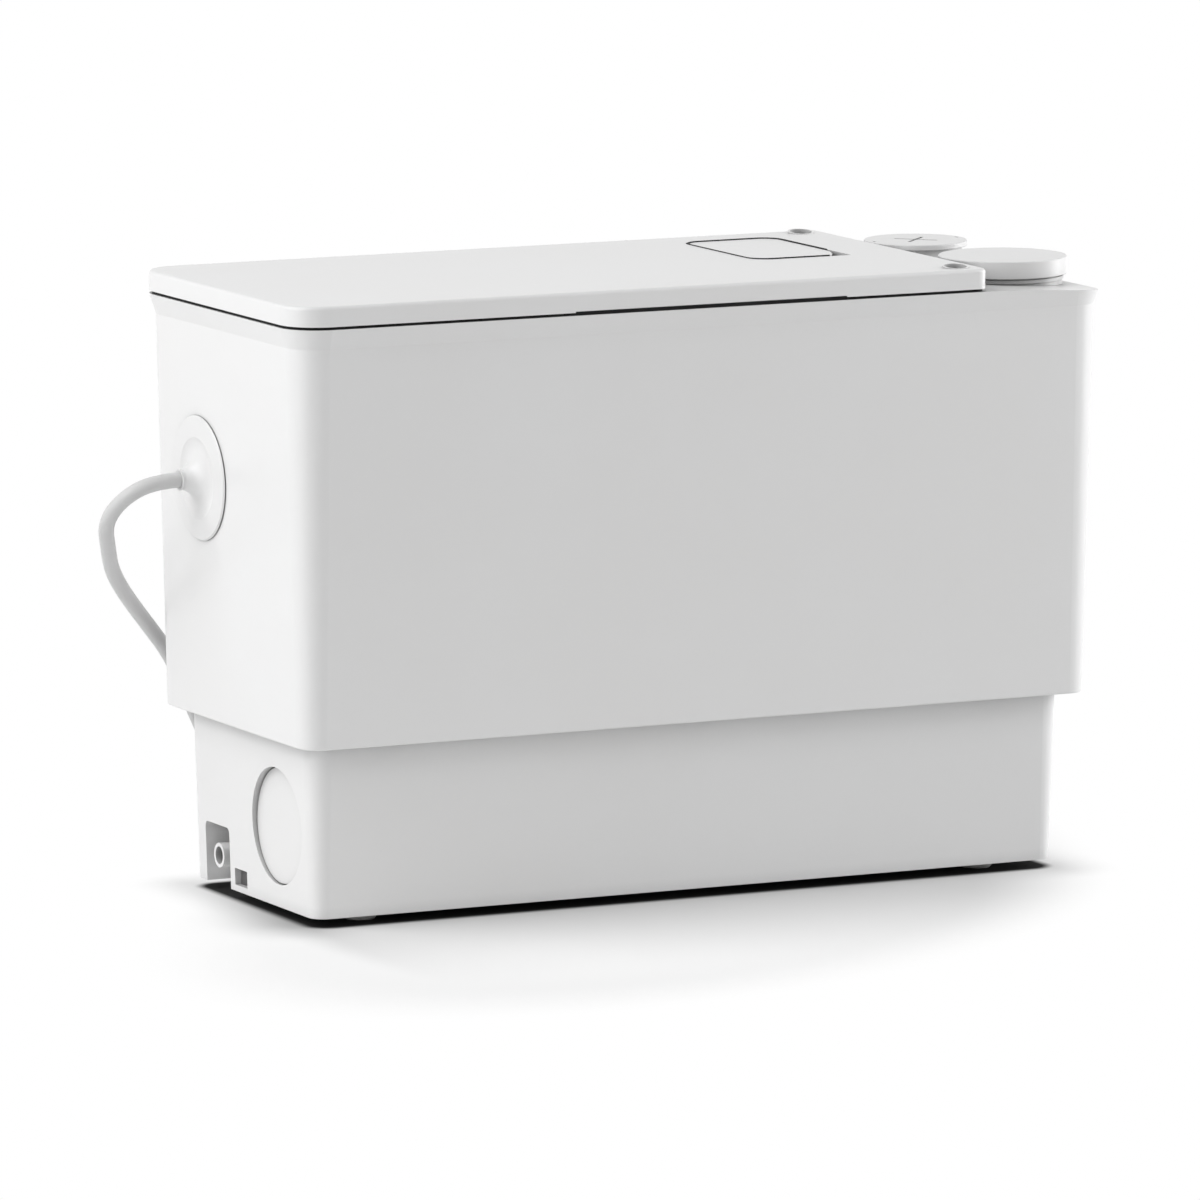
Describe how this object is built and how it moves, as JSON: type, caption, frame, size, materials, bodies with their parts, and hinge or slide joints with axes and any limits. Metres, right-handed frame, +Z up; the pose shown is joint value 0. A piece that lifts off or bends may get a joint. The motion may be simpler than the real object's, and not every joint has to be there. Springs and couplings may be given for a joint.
{
  "type": "wastewater lifting station",
  "caption": "Floor-standing wastewater lifting station: white tank and casing, lid with filter hatch, capped inlet and discharge ports, side plugs, mains cable and plug, pump inside.",
  "frame": {"origin": "centre of the body's footprint on the floor, under the middle of the rim", "axes": "+X along the long side towards the pipe ports, -Y towards the plain front face, +Z up; the floor is z = 0"},
  "size_m": [0.4088, 0.2534, 0.2594],
  "materials": {
    "housing_white": "fine satin moulded plastic, light off-white",
    "tank_white": "fine satin moulded plastic, light off-white",
    "cap_white": "fine satin moulded plastic, light off-white",
    "seal_black": "matt black rubber",
    "foot_grey": "matt pale grey rubber",
    "cable_white": "semi-matt light grey-white sheath",
    "inner_grey": "matt grey plastic",
    "inner_black": "matt black plastic",
    "pipe_grey": "matt grey pipe plastic",
    "stainless": "brushed stainless steel",
    "motor_paint": "satin dark grey paint",
    "cast_cap": "as cast",
    "laminations": "varnished laminations",
    "copper": "varnished copper winding",
    "carbon": "matt granular activated carbon",
    "board_green": "circuit board with black components",
    "contact_brass": "plain brass"
  },
  "bodies": {
    "station": {"tank": "tank_white", "rubber_feet": "foot_grey", "fixing_bushes": "tank_white", "tank_gasket": "seal_black", "partition": "tank_white", "housing": "housing_white", "housing_screws": "stainless", "inlet_duct": "pipe_grey", "volute": "inner_black", "strainer": "inner_black", "seal_housing": "inner_black", "shaft_seal": "seal_black", "bearings": "stainless", "motor_shell": "motor_paint", "stator": "laminations", "stator_windings": "copper", "motor_end_cap": "cast_cap", "motor_damper": "seal_black", "pump_screws": "stainless", "discharge_pipe": "pipe_grey", "valve_base": "pipe_grey", "valve_cover": "pipe_grey", "flap_pin": "stainless", "riser_hose": "seal_black", "hose_clamps": "stainless", "vent_pipe": "pipe_grey", "dip_tube": "pipe_grey", "pressure_switch": "inner_grey", "control_box": "inner_grey", "control_box_cover": "inner_grey", "circuit_board": "board_green", "capacitor": "inner_grey", "motor_lead": "inner_black", "cable_grommet": "cap_white", "inner_lead": "cable_white", "cable": "cable_white", "cable_coil": "cable_white", "cable_tail": "cable_white", "mains_plug": "cable_white", "plug_pins": "contact_brass"},
    "rotor_set": {"impeller": "stainless", "impeller_nut": "stainless", "shaft": "stainless", "rotor": "laminations"},
    "flap": {"valve_flap": "seal_black"},
    "lid_set": {"lid": "housing_white", "lid_gasket": "seal_black", "lid_screws": "stainless", "hatch_seal": "seal_black"},
    "hatch_set": {"hatch": "housing_white", "filter_cartridge": "inner_black", "carbon_block": "carbon"},
    "inlet_cap_set": {"inlet_cap": "cap_white", "inlet_cap_seal": "seal_black"},
    "discharge_cap_set": {"discharge_cap": "cap_white", "discharge_cap_seal": "seal_black"},
    "left_plug_set": {"side_plug_left": "cap_white", "side_plug_seal_left": "seal_black"},
    "right_plug_set": {"side_plug_right": "cap_white", "side_plug_seal_right": "seal_black"}
  },
  "joints": [
    {"name": "impeller_spin", "type": "hinge", "parent": "station", "child": "rotor_set", "pos_m": [-0.03, 0, 0.1], "axis": [0, 0, 1], "continuous": true},
    {"name": "flap_hinge", "type": "hinge", "parent": "station", "child": "flap", "pos_m": [0.0862, 0.03, 0.109], "axis": [0, -1, 0], "range_deg": [0, 60]},
    {"name": "lid_lift", "type": "slide", "parent": "station", "child": "lid_set", "axis": [0, 0, 1], "range_m": [0, 0.06]},
    {"name": "hatch_lift", "type": "slide", "parent": "lid_set", "child": "hatch_set", "axis": [0, 0, 1], "range_m": [0, 0.05]},
    {"name": "inlet_cap_lift", "type": "slide", "parent": "station", "child": "inlet_cap_set", "axis": [0, 0, 1], "range_m": [0, 0.03]},
    {"name": "discharge_cap_turn", "type": "hinge", "parent": "station", "child": "discharge_cap_set", "pos_m": [0.1508, 0.0287, 0.2556], "axis": [0, 0, 1], "range_deg": [0, 90]},
    {"name": "left_plug_pull", "type": "slide", "parent": "station", "child": "left_plug_set", "axis": [-1, 0, 0], "range_m": [0, 0.03]},
    {"name": "right_plug_pull", "type": "slide", "parent": "station", "child": "right_plug_set", "axis": [1, 0, 0], "range_m": [0, 0.03]}
  ]
}
